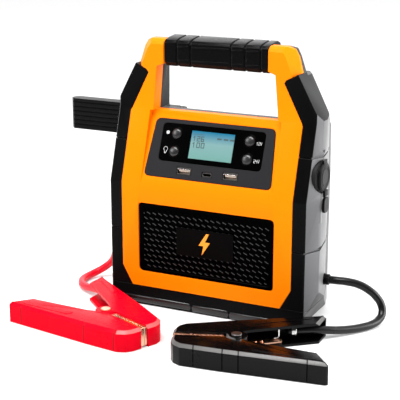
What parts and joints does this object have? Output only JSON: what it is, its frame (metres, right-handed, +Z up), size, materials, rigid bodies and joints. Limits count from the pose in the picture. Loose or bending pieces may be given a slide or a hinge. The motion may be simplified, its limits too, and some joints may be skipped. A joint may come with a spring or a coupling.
{
  "type": "jump starter pack",
  "caption": "Portable car battery jump starter with a carry handle, front control panel, swing-out work lamp, capped 12 V outlet and battery clamps on short leads.",
  "frame": {"origin": "on the floor under the middle of the body, at the centre of its flat underside", "axes": "+X to the right of someone facing the control panel, +Y from the panel to the back, +Z up"},
  "size_m": [0.3415, 0.2133, 0.24],
  "materials": {
    "orange": "satin moulded plastic",
    "case_black": "fine moulded texture",
    "guard_rubber": "soft matte rubber",
    "steel": "plated steel",
    "bezel_grey": "satin dark grey plastic",
    "window_black": "polished black plastic",
    "lcd": "pale blue-green display",
    "board": "green circuit board",
    "cells": "blue wrapped lithium cells",
    "copper": "copper plated",
    "lamp_black": "black moulded plastic",
    "lamp_lens": "frosted lens",
    "clamp_red": "glossy red plastic",
    "clamp_black": "satin black plastic",
    "lead_red": "flexible silicone sheath",
    "lead_black": "flexible silicone sheath"
  },
  "bodies": {
    "pack": {"front_shell": "orange", "rear_shell": "case_black", "grille_panel": "case_black", "badge_plate": "case_black", "battery_cradle": "case_black", "left_guard": "guard_rubber", "right_guard": "guard_rubber", "base_bumper": "guard_rubber", "handle_grip": "guard_rubber", "cap_strap": "guard_rubber", "left_gland": "guard_rubber", "right_gland": "guard_rubber", "handle_rod": "steel", "usb_a_port_left": "steel", "usb_a_port_right": "steel", "usb_c_port": "steel", "outlet_socket": "steel", "lamp_hinge_pin": "steel", "case_screw_1": "steel", "case_screw_2": "steel", "case_screw_3": "steel", "case_screw_4": "steel", "red_clamp_pin": "steel", "black_clamp_pin": "steel", "red_clamp_spring": "steel", "black_clamp_spring": "steel", "red_clamp_cable_clip": "steel", "black_clamp_cable_clip": "steel", "control_bezel": "bezel_grey", "display_window": "window_black", "lcd_module": "lcd", "control_board": "board", "main_board": "board", "battery_pack_left": "cells", "battery_pack_right": "cells", "positive_busbar": "copper", "negative_busbar": "copper", "red_clamp_fixed_jaw": "copper", "red_clamp_terminal": "copper", "black_clamp_fixed_jaw": "copper", "black_clamp_terminal": "copper", "lamp_bracket": "lamp_black", "red_clamp_fixed_arm": "clamp_red", "black_clamp_fixed_arm": "clamp_black", "red_cable": "lead_red", "black_cable": "lead_black"},
    "power_button": {"power_button": "bezel_grey"},
    "light_button": {"light_button": "bezel_grey"},
    "start_12v_button": {"start_12v_button": "bezel_grey"},
    "start_24v_button": {"start_24v_button": "bezel_grey"},
    "socket_cap": {"socket_cap": "guard_rubber"},
    "lamp": {"lamp_housing": "lamp_black", "lamp_board": "board", "lamp_lens": "lamp_lens"},
    "red_moving_arm": {"red_clamp_moving_arm": "clamp_red", "red_clamp_moving_jaw": "copper"},
    "black_moving_arm": {"black_clamp_moving_arm": "clamp_black", "black_clamp_moving_jaw": "copper"}
  },
  "joints": [
    {"name": "power_button_press", "type": "slide", "parent": "pack", "child": "power_button", "axis": [0, 0.9285, -0.3714], "range_m": [0, 0.0012], "stiffness_N_per_m": 900, "springref_m": -0.0006},
    {"name": "light_button_press", "type": "slide", "parent": "pack", "child": "light_button", "axis": [0, 0.9285, -0.3714], "range_m": [0, 0.0012], "stiffness_N_per_m": 900, "springref_m": -0.0006},
    {"name": "start_12v_button_press", "type": "slide", "parent": "pack", "child": "start_12v_button", "axis": [0, 0.9285, -0.3714], "range_m": [0, 0.0012], "stiffness_N_per_m": 900, "springref_m": -0.0006},
    {"name": "start_24v_button_press", "type": "slide", "parent": "pack", "child": "start_24v_button", "axis": [0, 0.9285, -0.3714], "range_m": [0, 0.0012], "stiffness_N_per_m": 900, "springref_m": -0.0006},
    {"name": "socket_cap_hinge", "type": "hinge", "parent": "pack", "child": "socket_cap", "pos_m": [0.1015, -0.023, 0.1166], "axis": [0, 1, 0], "range_deg": [0, 110]},
    {"name": "lamp_swing", "type": "hinge", "parent": "pack", "child": "lamp", "pos_m": [-0.071, 0.0533, 0.148], "axis": [0, 0, -1], "range_deg": [0, 180]},
    {"name": "red_clamp_hinge", "type": "hinge", "parent": "pack", "child": "red_moving_arm", "pos_m": [-0.06011, -0.11327, 0.0092], "axis": [0, 0, -1], "range_deg": [0, 28], "stiffness_Nm_per_rad": 2, "springref_deg": -20.05},
    {"name": "black_clamp_hinge", "type": "hinge", "parent": "pack", "child": "black_moving_arm", "pos_m": [0.06275, -0.11567, 0.0092], "axis": [0, 0, 1], "range_deg": [0, 28], "stiffness_Nm_per_rad": 2, "springref_deg": -20.05}
  ]
}
